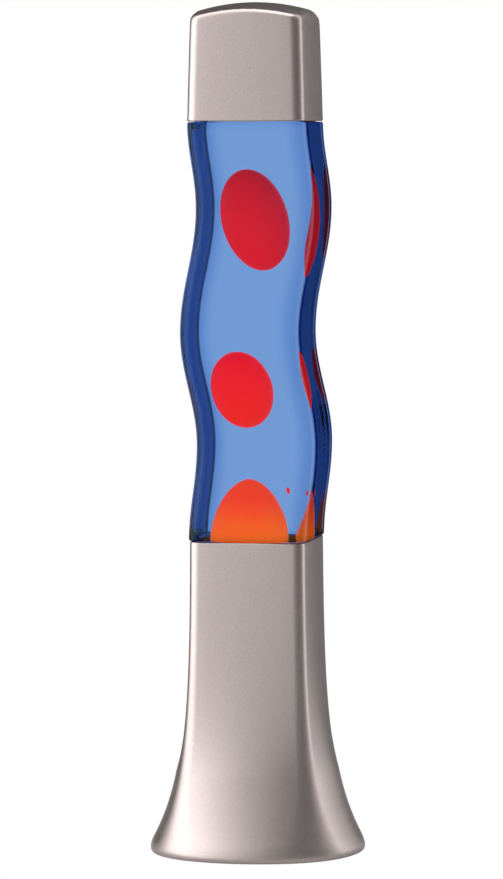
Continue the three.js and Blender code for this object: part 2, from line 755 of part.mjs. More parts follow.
function capOutside() {
  const edgeSteps = 3;
  const edge = Array.from({ length: edgeSteps + 1 }, (_, step) => {
    const angle = (step / edgeSteps) * (Math.PI / 2);
    const inset = CAP.edge * (1 - Math.cos(angle));
    const drop = CAP.edge * (1 - Math.sin(angle));
    return squareRing(CAP.edgeHalf - inset, CAP.corner - inset, domeAt(drop));
  });
  const sides = [...CAP_ROLL, ...CAP_SIDES].map(({ z, half }) => squareRing(half, CAP.corner, z));
  return [...sides, ...edge, ...[19, 12, 5].map((half) => domeRing(half, 0))];
}

function capInside() {
  const corner = CAP.corner - CAP.wall;
  const inner = (half, z) => squareRing(half - CAP.wall, corner, z);
  return [
    ...[5, 14].map((half) => domeRing(half, CAP.wall)),
    inner(CAP.edgeHalf - 0.4, domeAt(CAP.wall + 0.6)),
    ...CAP_SIDES.toReversed().map(({ z, half }) => inner(half, z)),
    inner(CAP_SIDES[0].half, CAP.bottom),
  ];
}

function topCap() {
  const first = new THREE.Vector3(0, 0, CAP.apex - CAP.wall);
  const last = new THREE.Vector3(0, 0, CAP.apex);
  return loft([...capInside(), ...capOutside()], { first, last });
}

// ---- Assembly -----------------------------------------------------------------------------

function addBase(lamp) {
  lamp.add(mesh("base_shell", baseShell(), SILVER));
  lamp.add(mesh("bottom_plate", bottomPlate(), BLACK_PLASTIC));
  plateScrewPlaces().forEach(([x, y], i) => {
    lamp.add(mesh(`plate_screw_${i + 1}`, screw(x, y, PLATE.bottom, PLATE_SCREW.length), STEEL));
  });
  footPlaces().forEach(([x, y], i) => {
    lamp.add(mesh(`rubber_foot_${i + 1}`, rubberFoot(x, y), RUBBER));
  });
  lamp.add(mesh("cord_bushing", cordBushing(), RUBBER));
  lamp.add(mesh("globe_seat", globeSeat(), BLACK_PLASTIC));
  lamp.add(mesh("heat_shield", heatShield(), ALUMINIUM));
  seatScrewPlaces().forEach(([x, y], i) => {
    lamp.add(mesh(`seat_screw_${i + 1}`, seatScrew(x, y), STEEL));
  });
}

// The wires run from their terminals down and back to the cord's way out.
const CENTRE_ROUTE = [[0, 2.4, 36.2], [0.8, 12, 30], [1.4, 26, 17], [1.3, 34, 12.4], [1.3, 44, BUSHING.z]];
const SIDE_ROUTE = [[0, 15.8, 47], [-1.2, 20, 34], [-1.5, 28, 18], [-1.3, 34, 12.4], [-1.3, 44, BUSHING.z]];

function addSocket(lamp) {
  const { screwX, top, thickness } = BRACKET;
  lamp.add(mesh("socket_bracket", socketBracket(), STEEL));
  [-1, 1].forEach((side, i) => {
    const bracketScrew = screw(side * screwX, 0, PLATE.bottom, BRACKET_SCREW_LENGTH);
    lamp.add(mesh(`bracket_screw_${i + 1}`, bracketScrew, STEEL));
    lamp.add(mesh(`bracket_nut_${i + 1}`, hexNut(side * screwX, PLATE.top + thickness), STEEL));
    const socketScrew = screw(side * SOCKET.screwX, 0, top - thickness, SOCKET.screwLength);
    lamp.add(mesh(`socket_screw_${i + 1}`, socketScrew, STEEL));
  });
  lamp.add(mesh("socket_body", socketBody(), CERAMIC));
  lamp.add(mesh("socket_screw_shell", socketScrewShell(), BRASS));
  lamp.add(mesh("socket_centre_contact", socketCentreContact(), BRASS));
  lamp.add(mesh("socket_side_terminal", socketSideTerminal(), BRASS));
  lamp.add(mesh("lead_wire_centre", bar(CENTRE_ROUTE, WIRE), BROWN_INSULATION));
  lamp.add(mesh("lead_wire_side", bar(SIDE_ROUTE, WIRE), BLUE_INSULATION));
}

function addBulb(lamp) {
  lamp.add(mesh("bulb_glass", bulbGlass(), FROSTED_GLASS));
  lamp.add(mesh("bulb_screw_shell", bulbScrewShell(), BRASS));
  lamp.add(mesh("bulb_insulator", bulbInsulator(), BLACK_PLASTIC));
  lamp.add(mesh("bulb_contact", bulbContact(), BRASS));
  lamp.add(mesh("bulb_stem", bulbStem(), CLEAR_GLASS));
  lamp.add(mesh("bulb_lead_left", bulbLead(-1), STEEL));
  lamp.add(mesh("bulb_lead_right", bulbLead(1), STEEL));
  lamp.add(mesh("filament", filament(), TUNGSTEN));
}

function addBottle(lamp) {
  lamp.add(mesh("glass_globe", glassGlobe(), BLUE_GLASS));
  lamp.add(mesh("liquid", liquid(), BLUE_LIQUID));
  lamp.add(mesh("wax_mound", waxMound(), wax(0xf4642a)));
  lamp.add(mesh("wax_middle_blob", waxEgg(WAX.middle), wax(0xee2c2f)));
  lamp.add(mesh("wax_upper_blob", waxEgg(WAX.upper), wax(0xc9212e)));
  lamp.add(mesh("wax_droplet", waxEgg(WAX.droplet, DROPLET), wax(0xe02a2c)));
  lamp.add(mesh("wax_coil", coilRing(), STEEL));
  lamp.add(mesh("crown_liner", crownLiner(), LINER_WHITE));
  lamp.add(mesh("crown_cap", crownCap(), STEEL));
}

const lamp = new THREE.Group();
lamp.name = "lava_lamp";
addBase(lamp);
addSocket(lamp);
addBulb(lamp);
addBottle(lamp);
lamp.add(mesh("top_cap", topCap(), SILVER));

export default lamp;
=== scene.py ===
"""The lava lamp's looks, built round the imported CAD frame.

Lengths are in millimetres until a mesh is made.
"""

import json
import math

import bpy
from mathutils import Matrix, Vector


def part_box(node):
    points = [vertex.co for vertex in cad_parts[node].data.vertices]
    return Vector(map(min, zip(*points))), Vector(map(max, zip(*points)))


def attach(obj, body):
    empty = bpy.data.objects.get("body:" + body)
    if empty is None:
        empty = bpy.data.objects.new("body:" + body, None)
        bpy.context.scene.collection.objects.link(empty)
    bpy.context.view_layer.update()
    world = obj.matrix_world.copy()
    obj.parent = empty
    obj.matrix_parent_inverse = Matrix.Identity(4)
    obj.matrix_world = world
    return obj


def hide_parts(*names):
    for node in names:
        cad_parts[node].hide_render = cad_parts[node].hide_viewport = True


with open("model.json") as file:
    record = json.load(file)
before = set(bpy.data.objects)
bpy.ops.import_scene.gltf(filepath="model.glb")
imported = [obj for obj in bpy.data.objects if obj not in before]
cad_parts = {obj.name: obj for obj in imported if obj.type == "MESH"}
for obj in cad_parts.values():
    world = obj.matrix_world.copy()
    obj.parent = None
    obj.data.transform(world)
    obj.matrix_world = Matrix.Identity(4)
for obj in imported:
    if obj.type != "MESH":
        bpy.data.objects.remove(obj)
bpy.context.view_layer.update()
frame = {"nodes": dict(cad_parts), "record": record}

MM = 0.001

# ---- Shape ----------------------------------------------------------------------------------

ARC_STEPS = 14  # segments in each rounded corner
SIDE_STEPS = 8  # segments along each side
FLAT = 0.01  # degrees of swell of a side that is as good as flat
SWELL = 3.0  # degrees of swell of the metal sides
BASE_SWELL = 21.0  # degrees of swell where the skirt spreads
BASE_SWELL_SPREAD = 7.0  # how far out of the neck the skirt reaches that swell
ROUND_SIDES = 72

BASE_NECK_HALF = 28.7
BASE_FLARE = 27.0
BASE_DECAY = 30.0
BASE_TOP = 155.3
BASE_RIM_HALF = 52.0
BASE_TOP_CORNER = 6.0
BASE_CORNER_GROWTH = 40.0
BASE_CORNER_POWER = 1.3
BASE_WALL = 2.4
BASE_FLARE_START = 8.5  # height where the rolled rim runs into the flare
BASE_RIM = [(0.3, 50.9), (0.45, 51.4), (0.9, 51.8), (1.7, 52.0), (2.7, 52.0), (3.8, 51.7), (5.0, 51.2),
            (6.4, 50.45)]
BASE_RIM_INNER_HALF = 48.0
BASE_FINE_TOP = 40  # below this height the skirt bends more, and its rings lie closer
BASE_FINE_STEP = 1.5
BASE_COARSE_STEP = 4
BASE_EDGE = [(0.0, 0.8), (0.1, 0.4), (0.3, 0.1), (0.55, 0.0)]  # inset and drop round the top edge

GLASS_HALF = 29.5
GLASS_CORNER = 7.0
GLASS_INNER_HALF = 25.7
GLASS_INNER_CORNER = 7.0
GLASS_FLOOR = 147.3
GLASS_LEDGE = 155.6
GLASS_SHOULDER = 361.2
GLASS_TOP = 392.5
LIQUID_LEVEL = 380.0
LIQUID_GAP = 0.06
WAVE = [(155.0, 0.0), (203.1, 4.2), (257.6, -4.0), (319.3, 4.2), (361.2, 0.0)]
WAVE_STEP = 2.0

CAP_BOTTOM = 361.5
CAP_APEX = 420.0
CAP_DOME = 190.0  # twice the radius of the domed top
CAP_WALL = 2.3
CAP_EDGE = 2.4
CAP_CORNER = 6.0
CAP_EDGE_HALF = 27.85
CAP_EDGE_STEPS = 6
CAP_DOME_CORNER = 0.3  # corner radius of the dome's rings, as a share of their half width
CAP_SIDES = [(361.5, 28.75), (361.8, 29.15), (362.2, 29.33), (363.0, 29.3), (364.5, 29.2), (376.0, 28.95),
             (390.0, 28.55), (402.0, 28.25), (409.0, 28.0)]


def ease(share):
    return (1 - math.cos(share * math.pi)) / 2


def wave_shift(z):
    """Sideways shift of the glass column at a height."""
    for (low_z, low), (high_z, high) in zip(WAVE, WAVE[1:]):
        if low_z <= z < high_z:
            return low + (high - low) * ease((z - low_z) / (high_z - low_z))
    return 0.0


def base_half(z):
    return BASE_NECK_HALF + BASE_FLARE * math.exp(-z / BASE_DECAY)


def base_corner(half):
    narrowest = base_half(BASE_TOP)
    share = max(0.0, (half - narrowest) / (BASE_RIM_HALF - narrowest))
    return BASE_TOP_CORNER + BASE_CORNER_GROWTH * share**BASE_CORNER_POWER


def base_swell(half):
    """The skirt's sides swell as it spreads, in degrees."""
    spread = min(1.0, (half - BASE_NECK_HALF) / BASE_SWELL_SPREAD)
    return SWELL + (BASE_SWELL - SWELL) * max(0.0, spread)


def square_ring(half, corner, height, shift=0.0, swell=FLAT):
    """A rounded square, counter-clockwise from above. height is a number or a function of x and y.

    Each side is an arc that turns by twice the swell, in degrees, and runs smoothly into the corners.
    """
    radius = min(corner, half - 0.05)
    inset = half - radius
    bend = math.radians(swell)
    side_radius = radius + inset / math.sin(bend)
    side_centre = inset - inset / math.tan(bend)
    points = []
    for quarter in range(4):
        centre_x = inset if quarter in (0, 3) else -inset
        centre_y = inset if quarter < 2 else -inset
        for step in range(ARC_STEPS + 1):
            angle = quarter * math.pi / 2 + bend + step / ARC_STEPS * (math.pi / 2 - 2 * bend)
            points.append((centre_x + radius * math.cos(angle), centre_y + radius * math.sin(angle)))
        facing = (quarter + 1) * math.pi / 2
        for step in range(1, SIDE_STEPS):
            angle = facing + (2 * step / SIDE_STEPS - 1) * bend
            x = side_centre * math.cos(facing) + side_radius * math.cos(angle)
            y = side_centre * math.sin(facing) + side_radius * math.sin(angle)
            points.append((x, y))
    return [(x + shift, y, height(x, y) if callable(height) else height) for x, y in points]


def round_ring(radius_at, z, sides=ROUND_SIDES, centre_x=0.0):
    """A ring whose radius is a number or a function of the angle."""
    ring = []
    for i in range(sides):
        angle = i / sides * math.tau
        radius = radius_at(angle) if callable(radius_at) else radius_at
        ring.append((centre_x + radius * math.cos(angle), radius * math.sin(angle), z))
    return ring


def middle(ring):
    return tuple(sum(p[i] for p in ring) / len(ring) for i in range(3))


def skin(name, rings, loop=False, first=None, last=None, crease=35.0):
    """A mesh object skinned over equal rings.

    A loop joins the last ring to the first. Otherwise both ends are capped.
    """
    count = len(rings[0])
    points = [p for ring in rings for p in ring]
    faces = []
    spans = len(rings) if loop else len(rings) - 1
    for i in range(spans):
        low, high = i * count, (i + 1) % len(rings) * count
        for j in range(count):
            k = (j + 1) % count
            faces.append((low + j, low + k, high + k, high + j))
    if not loop:
        end = (len(rings) - 1) * count
        points += [first or middle(rings[0]), last or middle(rings[-1])]
        for j in range(count):
            k = (j + 1) % count
            faces.append((len(points) - 2, k, j))
            faces.append((len(points) - 1, end + j, end + k))
    mesh = bpy.data.meshes.new(name)
    mesh.from_pydata([tuple(c * MM for c in p) for p in points], [], faces)
    mesh.validate()
    mesh.shade_smooth()
    mesh.set_sharp_from_angle(angle=math.radians(crease))
    piece = bpy.data.objects.new(name, mesh)
    bpy.context.scene.collection.objects.link(piece)
    return piece


def steps(low, high, step):
    count = max(1, round((high - low) / step))
    return [low + (high - low) * i / count for i in range(count + 1)]


# ---- Materials ------------------------------------------------------------------------------


class Look:
    """A material whose Principled shader is driven by procedural nodes."""

    def __init__(self, name, **sockets):
        self.material = bpy.data.materials.new(name)
        self.material.use_nodes = True
        self.tree = self.material.node_tree
        self.shader = self.tree.nodes["Principled BSDF"]
        for socket, value in sockets.items():
            self.shader.inputs[socket.replace("_", " ")].default_value = value

    def node(self, kind, **settings):
        made = self.tree.nodes.new(kind)
        for key, value in settings.items():
            if key in made.inputs:
                made.inputs[key].default_value = value
            else:
                setattr(made, key, value)
        return made

    def link(self, source, target):
        self.tree.links.new(source, target)

    def place(self, stretch=(1, 1, 1)):
        """Object coordinates, stretched."""
        coordinates = self.node("ShaderNodeTexCoord")
        mapping = self.node("ShaderNodeMapping")
        mapping.inputs["Scale"].default_value = stretch
        self.link(coordinates.outputs["Object"], mapping.inputs["Vector"])
        return mapping.outputs["Vector"]

    def noise(self, scale, detail=3.0, stretch=(1, 1, 1)):
        made = self.node("ShaderNodeTexNoise", Scale=scale, Detail=detail)
        self.link(self.place(stretch), made.inputs["Vector"])
        return made.outputs["Fac"]

    def spread(self, source, low, high, start=0.3, stop=0.7):
        made = self.node("ShaderNodeMapRange")
        made.inputs["From Min"].default_value = start
        made.inputs["From Max"].default_value = stop
        made.inputs["To Min"].default_value = low
        made.inputs["To Max"].default_value = high
        self.link(source, made.inputs["Value"])
        return made.outputs["Result"]

    def ramp(self, source, *stops):
        """A colour ramp between two (place, colour) stops."""
        made = self.node("ShaderNodeValToRGB")
        for end, (position, colour) in zip(made.color_ramp.elements, stops):
            end.position = position
            end.color = (*colour, 1)
        self.link(source, made.inputs["Fac"])
        return made.outputs["Color"]

    def bump(self, source, distance):
        made = self.node("ShaderNodeBump", Distance=distance)
        self.link(source, made.inputs["Height"])
        self.link(made.outputs["Normal"], self.shader.inputs["Normal"])

    def colour_from(self, source, dark, light):
        self.link(self.ramp(source, (0.35, dark), (0.65, light)), self.shader.inputs["Base Color"])

    def roughness_from(self, source, low, high):
        self.link(self.spread(source, low, high), self.shader.inputs["Roughness"])


PATCH_SCALE = 0.13  # scale of the patches of roughness, as a share of the grain's
PATCH_CONTRAST = 0.1


def shade(colour, factor):
    return tuple(min(1.0, c * factor) for c in colour)


def grained(
    name, colour, roughness, metallic=0.0, grain=2500.0, contrast=0.06, bump=0.00001, stretch=(1, 1, 1)
):
    """A surface with fine grain in its colour, its roughness and its height."""
    look = Look(name, Metallic=metallic)
    fine = look.noise(grain, stretch=stretch)
    look.colour_from(fine, shade(colour, 1 - contrast), shade(colour, 1 + contrast))
    patches = look.noise(grain * PATCH_SCALE)
    look.roughness_from(patches, roughness * (1 - PATCH_CONTRAST), roughness * (1 + PATCH_CONTRAST))
    look.bump(fine, bump)
    return look.material


SILVER_COLOUR = (0.70, 0.60, 0.58)
GLASS_STREAKS = 170.0
GLASS_STREAK_STRETCH = (1, 1, 0.015)
GLASS_STREAK_DEPTH = 0.00003
GLASS_SHEEN = (0.15, 0.35, 0.5, 1)
GLASS_IOR = 1.5
LIQUID_IOR = 1.43
GLASS_TINT = (160.0, (0.0, 0.31, 0.72))  # density for each metre, and the colour that it lets through
LIQUID_TINT = (11.0, (0.0, 0.52, 0.9))
WAX_CLOUD_SCALE = 60.0
WAX_CLOUD = 0.06  # how far the clouds shift the wax's run of colour


def satin_silver():
    """Fine metallic paint under a thin satin lacquer."""
    return grained(
        "satin_silver", SILVER_COLOUR, 0.34, metallic=1.0,
        grain=3200.0, contrast=0.08, bump=0.000006, stretch=(1, 1, 0.4),
    )


def absorb(look, tint):
    """Fills what the surface encloses with a tint."""
    density, colour = tint
    volume = look.node("ShaderNodeVolumeAbsorption", Density=density, Color=(*colour, 1))
    look.link(volume.outputs["Volume"], look.tree.nodes["Material Output"].inputs["Volume"])


def bottle_glass():
    """Tinted glass.

    Where liquid wets its inner face, light bends only as much as between glass and liquid.
    """
    look = Look("bottle_glass", Base_Color=(1, 1, 1, 1), Roughness=0.0, Transmission_Weight=1.0)
    look.shader.inputs["Specular Tint"].default_value = GLASS_SHEEN
    wet = look.node("ShaderNodeAttribute", attribute_name="wet")
    bend = look.spread(wet.outputs["Fac"], GLASS_IOR, GLASS_IOR / LIQUID_IOR, 0.0, 1.0)
    look.link(bend, look.shader.inputs["IOR"])
    look.bump(look.noise(GLASS_STREAKS, 0.0, stretch=GLASS_STREAK_STRETCH), GLASS_STREAK_DEPTH)
    absorb(look, GLASS_TINT)
    return look.material


def blue_liquid():
    """Tinted liquid. Its sides touch the glass, whose faces already bend the light, so its own don't."""
    look = Look("blue_liquid", Base_Color=(1, 1, 1, 1), Roughness=0.0, IOR=1.0, Transmission_Weight=1.0)
    absorb(look, LIQUID_TINT)
    return look.material


def wax(name, low, high, z_low, z_high, glow, lean=0.0):
    """Wax with painted light from the bulb below: its colour and a painted glow run from low at the bottom
    to high at the top.

    lean is how much the run of painted light and shade turns towards +X.
    """
    look = Look(name, Roughness=0.4, Specular_IOR_Level=0.08)
    place = look.node("ShaderNodeSeparateXYZ")
    look.link(look.node("ShaderNodeTexCoord").outputs["Object"], place.inputs["Vector"])
    along = look.node("ShaderNodeMath", operation="MULTIPLY_ADD")
    along.inputs[1].default_value = lean
    look.link(place.outputs["X"], along.inputs[0])
    look.link(place.outputs["Z"], along.inputs[2])
    height = look.spread(along.outputs["Value"], 0.0, 1.0, z_low * MM, z_high * MM)
    cloud = look.spread(look.noise(WAX_CLOUD_SCALE, 2.0), -WAX_CLOUD, WAX_CLOUD)
    added = look.node("ShaderNodeMath", operation="ADD")
    look.link(height, added.inputs[0])
    look.link(cloud, added.inputs[1])
    # Painted light and shade: the colour runs from the bulb-lit bottom to the shaded top.
    colour = look.ramp(added.outputs["Value"], (0.0, low), (1.0, high))
    look.link(colour, look.shader.inputs["Base Color"])
    look.link(colour, look.shader.inputs["Emission Color"])
    # Painted glow: the wax is no lamp; this stands in for the bulb's light shining through it.
    look.shader.inputs["Emission Strength"].default_value = glow
    return look.material


def paint(piece, material):
    piece.data.materials.clear()
    piece.data.materials.append(material)
    return piece


def settle(piece, body, slot, *nodes):
    """The piece rides on a body and stands for CAD nodes, which it hides. slot is not used."""
    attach(piece, body)
    if nodes:
        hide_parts(*nodes)
    return piece


# ---- Pieces ---------------------------------------------------------------------------------


def build_base(material):
    heights = steps(BASE_FLARE_START, BASE_FINE_TOP, BASE_FINE_STEP)
    heights += steps(BASE_FINE_TOP + 3, BASE_TOP - 1.4, BASE_COARSE_STEP)
    profile = BASE_RIM + [(z, base_half(z)) for z in heights]
    outer = [square_ring(half, base_corner(half), z, swell=base_swell(half)) for z, half in profile]
    top_half = base_half(BASE_TOP)
    for inset, drop in BASE_EDGE:
        outer.append(square_ring(top_half - inset, BASE_TOP_CORNER - inset, BASE_TOP - drop, swell=SWELL))

    def inner(z):
        return square_ring(base_half(z) - BASE_WALL, base_corner(base_half(z)) - BASE_WALL, z)

    rim_corner = base_corner(BASE_RIM_INNER_HALF)
    inside = [inner(BASE_TOP), *[inner(z) for z in reversed(heights) if z > 10]]
    inside += [square_ring(BASE_RIM_INNER_HALF, rim_corner, z) for z in (7.0, BASE_RIM[0][0])]
    piece = skin("base_skirt", outer + inside, loop=True)
    settle(paint(piece, material), "base", "satin_silver", "base_shell")


def dome_at(drop):
    return lambda x, y: CAP_APEX - drop - (x * x + y * y) / CAP_DOME


def dome_rings(halves, drop):
    return [square_ring(half, half * CAP_DOME_CORNER, dome_at(drop)) for half in halves]


def build_cap(material):
    edge = []
    for step in range(CAP_EDGE_STEPS + 1):
        angle = step / CAP_EDGE_STEPS * math.pi / 2
        inset = CAP_EDGE * (1 - math.cos(angle))
        height = dome_at(CAP_EDGE * (1 - math.sin(angle)))
        edge.append(square_ring(CAP_EDGE_HALF - inset, CAP_CORNER - inset, height, swell=SWELL))
    dome = dome_rings((22.0, 18.0, 14.0, 10.0, 6.0, 2.0), 0.0)
    sides = [square_ring(half, CAP_CORNER, z, swell=SWELL) for z, half in CAP_SIDES]
    inner_corner = CAP_CORNER - CAP_WALL
    inside = dome_rings((3.0, 12.0, 20.0), CAP_WALL)
    inside.append(square_ring(CAP_EDGE_HALF - CAP_WALL - 0.4, inner_corner, dome_at(CAP_WALL + 0.6)))
    inside += [square_ring(half - CAP_WALL, inner_corner, z) for z, half in reversed(CAP_SIDES[4:])]
    inside.append(square_ring(CAP_SIDES[4][1] - CAP_WALL, inner_corner, CAP_BOTTOM))
    first = (0, 0, CAP_APEX - CAP_WALL)
    piece = skin("square_cap", inside + sides + edge + dome, first=first, last=(0, 0, CAP_APEX))
    settle(paint(piece, material), "cap", "satin_silver", "top_cap")


def column(sections, gap=0.0):
    return [square_ring(half - gap, corner - gap, z, wave_shift(z)) for half, corner, z in sections]


def bottle_outside():
    wave = steps(GLASS_LEDGE + 1.0, GLASS_SHOULDER - 1.0, WAVE_STEP)
    return [
        (24.3, 7, 142.0),
        (25.2, 7.6, 142.2),
        (25.7, 8, 142.8),
        (25.8, 8, 143.6),
        (25.8, 8, GLASS_LEDGE - 0.4),
        (26.2, 8, GLASS_LEDGE),
        (GLASS_HALF - 0.7, GLASS_CORNER, GLASS_LEDGE),
        (GLASS_HALF - 0.2, GLASS_CORNER, GLASS_LEDGE + 0.3),
        *[(GLASS_HALF, GLASS_CORNER, z) for z in wave],
        (GLASS_HALF - 0.2, GLASS_CORNER, GLASS_SHOULDER - 0.3),
        (GLASS_HALF - 0.7, GLASS_CORNER, GLASS_SHOULDER),
        (26.6, GLASS_CORNER, GLASS_SHOULDER),
        (26.3, GLASS_CORNER, GLASS_SHOULDER + 0.4),
        (26.3, GLASS_CORNER, 364.5),
        (26.0, 7.4, 366.6),
        (25.0, 8.4, 369.0),
        (22.8, 10, 371.4),
        (19.6, 11.4, 373.4),
        (16.4, 12.4, 375.2),
        (14.2, 12.9, 377.2),
        (13.1, 13, 379.6),
        (12.8, 12.8, 382.5),
        (12.8, 12.8, 387.6),
        (13.4, 13.4, 388.2),
        (13.85, 13.85, 389.0),
        (13.9, 13.9, 391.0),
        (13.6, 13.6, 392.0),
        (12.8, 12.8, GLASS_TOP),
    ]


def bottle_inside(level=GLASS_TOP):
    return [
        (18.6, 6, GLASS_FLOOR),
        (20.4, 6, GLASS_FLOOR + 0.3),
        (21.4, 6, GLASS_FLOOR + 1.1),
        (21.8, 6, GLASS_FLOOR + 2.2),
        (21.8, 6, GLASS_LEDGE - 1.5),
        (22.3, 6.2, GLASS_LEDGE - 0.3),
        (24.0, 6.6, GLASS_LEDGE + 1.3),
        (25.2, 6.9, GLASS_LEDGE + 2.5),
        *[(GLASS_INNER_HALF, GLASS_INNER_CORNER, z) for z in steps(GLASS_LEDGE + 3.7, 357.6, WAVE_STEP)],
        (25.4, 7, 359.0),
        (24.6, 7, 360.9),
        (23.2, 7.1, 362.9),
        (22.4, 7.3, 365.0),
        (21.9, 7.6, 367.4),
        (20.2, 8.2, 370.0),
        (16.8, 9, 372.6),
        (13.0, 10, 374.9),
        (10.9, 10.4, 377.2),
        (10.2, 10.2, 379.6),
        (10.2, 10.2, min(level, GLASS_TOP)),
    ]


def build_bottle(glass, liquid):
    outside, inside = bottle_outside(), bottle_inside()
    bottle = skin("wavy_bottle", column(outside) + column(list(reversed(inside))))
    paint(bottle, glass)
    ring_count = len(square_ring(1, 0.5, 0))
    first_inner = len(outside) * ring_count
    wet = bottle.data.attributes.new("wet", "FLOAT", "FACE")
    for polygon in bottle.data.polygons:
        inner = min(polygon.vertices) >= first_inner
        wet.data[polygon.index].value = float(inner and polygon.center.z < LIQUID_LEVEL * MM)
    settle(bottle, "globe", "bottle_glass", "glass_globe")
    body = skin("liquid_body", column(bottle_inside(LIQUID_LEVEL), LIQUID_GAP))
    settle(paint(body, liquid), "globe", "blue_liquid", "liquid")


EGG_FULLNESS = 1.01  # how much wider than its CAD node an egg is, whose facets cut inside it


def build_egg(name, material, body, slot, node, lean, sides=64, layers=40):
    """A leaning egg of wax that fills its CAD node's box."""
    low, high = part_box(node)
    x, z = (low.x + high.x) / 2 / MM, (low.z + high.z) / 2 / MM
    half_height = (high.z - low.z) / 2 / MM
    half_width = (high.y - low.y) / 2 / MM * EGG_FULLNESS
    rings = []
    for i in range(layers):
        angle = ((i + 1) / (layers + 1) - 0.5) * math.pi
        rise = half_height * math.sin(angle)
        rings.append(round_ring(half_width * math.cos(angle), z + rise, sides, x - lean * rise))
    first = (x + lean * half_height, 0, z - half_height)
    last = (x - lean * half_height, 0, z + half_height)
    piece = skin(name, rings, first=first, last=last)
    settle(paint(piece, material), body, slot, node)


MOUND_FOOT = 18.2  # radius on the bottle's floor
MOUND_SIDE = (19.3, 149.5)  # radius and height of a ring below the widest
MOUND_WIDEST = 152.0  # height at which the mound is widest
MOUND_HALF = 19.9
MOUND_POWER = 0.58  # a half makes an ellipse, and more makes the top more pointed
MOUND_LAYERS = 40


def build_dome(material):
    """The mound of molten wax on the bottle's floor."""
    low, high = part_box("wax_mound")
    x, top = (low.x + high.x) / 2 / MM, high.z / MM
    rings = [round_ring(radius, z, centre_x=x) for radius, z in ((MOUND_FOOT, low.z / MM), MOUND_SIDE)]
    for i in range(MOUND_LAYERS):
        share = math.sin(i / MOUND_LAYERS * math.pi / 2)
        radius = MOUND_HALF * (1 - share**2) ** MOUND_POWER
        rings.append(round_ring(radius, MOUND_WIDEST + (top - MOUND_WIDEST) * share, centre_x=x))
    piece = skin("wax_dome", rings, last=(x, 0, top))
    settle(paint(piece, material), "globe", "wax_orange", "wax_mound")


FLUTES = 21


def build_crown(material):
    """The pressed closure, with the flutes that grip the bead."""
    low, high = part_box("crown_cap")
    top = high.z / MM
    bottom = low.z / MM
    sides = FLUTES * 8

    def fluted(mean, depth):
        return lambda angle: mean + depth * math.cos(angle * FLUTES)

    profile = [(14.2, 0.0, top - 0.4), (14.7, 0.05, top - 1.6), (15.1, 0.25, top - 3.4), (15.6, 0.5, bottom)]
    outer = [round_ring(fluted(mean + 0.4, depth), z + 0.1, sides) for mean, depth, z in reversed(profile)]
    inner = [round_ring(fluted(mean, depth), z, sides) for mean, depth, z in profile]
    crest = [round_ring(13.6, top, sides), round_ring(9.0, top, sides)]
    piece = skin("crown_closure", [round_ring(8.0, top - 0.4, sides), *inner, *outer, *crest])
    settle(paint(piece, material), "globe", "steel", "crown_cap")


# ---- Studio ---------------------------------------------------------------------------------

CAMERA_AZIMUTH = 11.5
CAMERA_DISTANCE = 2.4
CAMERA_HEIGHT = 0.3631
CAMERA_PITCH = 3.786
CAMERA_LENS = 198.98
CAMERA_ROLL = 0.2
AXIS_SHIFT = -0.0046


def build_camera():
    data = bpy.data.cameras.new("camera")
    data.lens = CAMERA_LENS
    data.sensor_width = 36.0
    data.shift_x = AXIS_SHIFT
    data.clip_end = 50.0
    camera = bpy.data.objects.new("camera", data)
    turn = math.radians(CAMERA_AZIMUTH)
    camera.location = (CAMERA_DISTANCE * math.sin(turn), -CAMERA_DISTANCE * math.cos(turn), CAMERA_HEIGHT)
    camera.rotation_euler = (math.radians(90 - CAMERA_PITCH), math.radians(CAMERA_ROLL), turn)
    bpy.context.scene.collection.objects.link(camera)
    bpy.context.scene.camera = camera


# The neutral brightness that surfaces mirror, by degrees from the front face towards +X.
STUDIO = [
    (-180, 0.1), (-170, 0.02), (-122, 0.02), (-106, 0.8), (-96, 1.9), (-62, 1.9), (-44, 1.3),
    (-28, 0.9), (-11.5, 0.62), (5, 0.46), (25, 0.25), (45, 0.16), (86, 0.16), (107, 0.5), (118, 1.2),
    (126, 1.2), (138, 0.55), (154, 0.42), (164, 0.01), (172, 0.005), (175, 0.3), (180, 0.1),
]
STUDIO_PEAK = 2.5
OVERHEAD = (0.8, 0.8, 0.8, 1)
OVERHEAD_START, OVERHEAD_FULL = 0.88, 0.94
FLOOR_RADIUS = 450.0
FLOOR_GREY = (0.35, 0.35, 0.35, 1)
FLOOR_GLOW = 0.1
WHITE = (1, 1, 1, 1)


